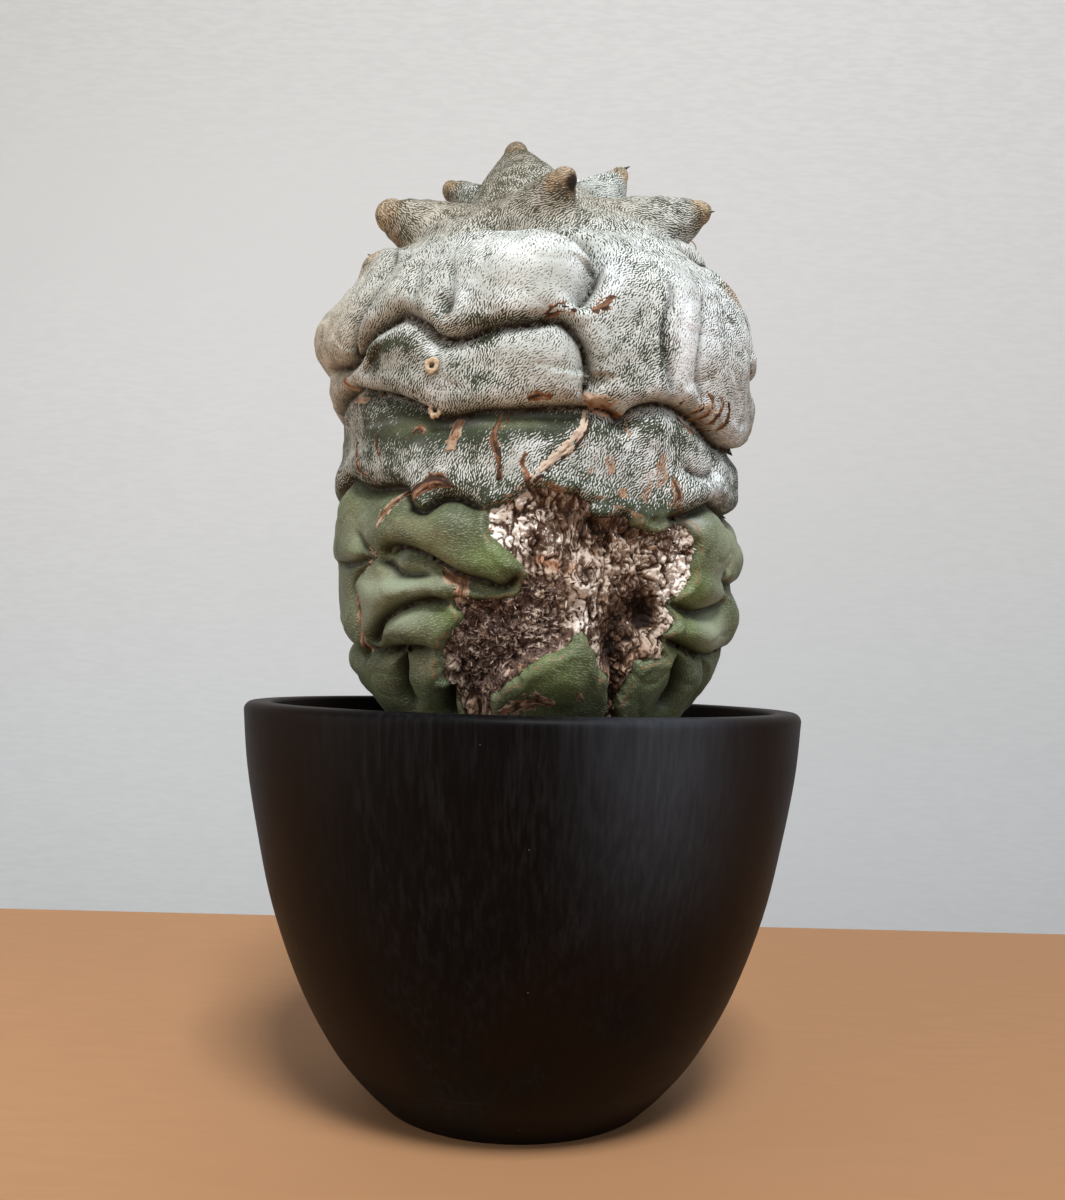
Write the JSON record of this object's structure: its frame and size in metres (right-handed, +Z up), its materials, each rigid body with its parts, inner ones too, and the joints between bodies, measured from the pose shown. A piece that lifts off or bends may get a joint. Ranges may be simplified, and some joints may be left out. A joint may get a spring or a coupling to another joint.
{
  "type": "potted monstrose bishops cap cactus",
  "caption": "Monstrose bishop's cap cactus with a tiered, lobed stem, a corky wound and a crown of blunt horns, growing in a plain round plastic pot.",
  "frame": {"origin": "centre of the pot's foot, on the surface that the pot stands on", "axes": "+Z up along the pot's axis, the stem's corky wound faces -Y"},
  "size_m": [0.15, 0.15, 0.2654],
  "materials": {
    "pot_plastic": "near-black matte plastic with a faint vertical brushing and a soft sheen",
    "potting_grit": "dark, dry, granular potting grit",
    "cactus_skin": "green skin, white-flecked on the upper tiers and bare below, with brown corky scars and a wound"
  },
  "bodies": {
    "root": {"pot": "pot_plastic", "soil": "potting_grit", "cactus": "cactus_skin"}
  },
  "joints": []
}
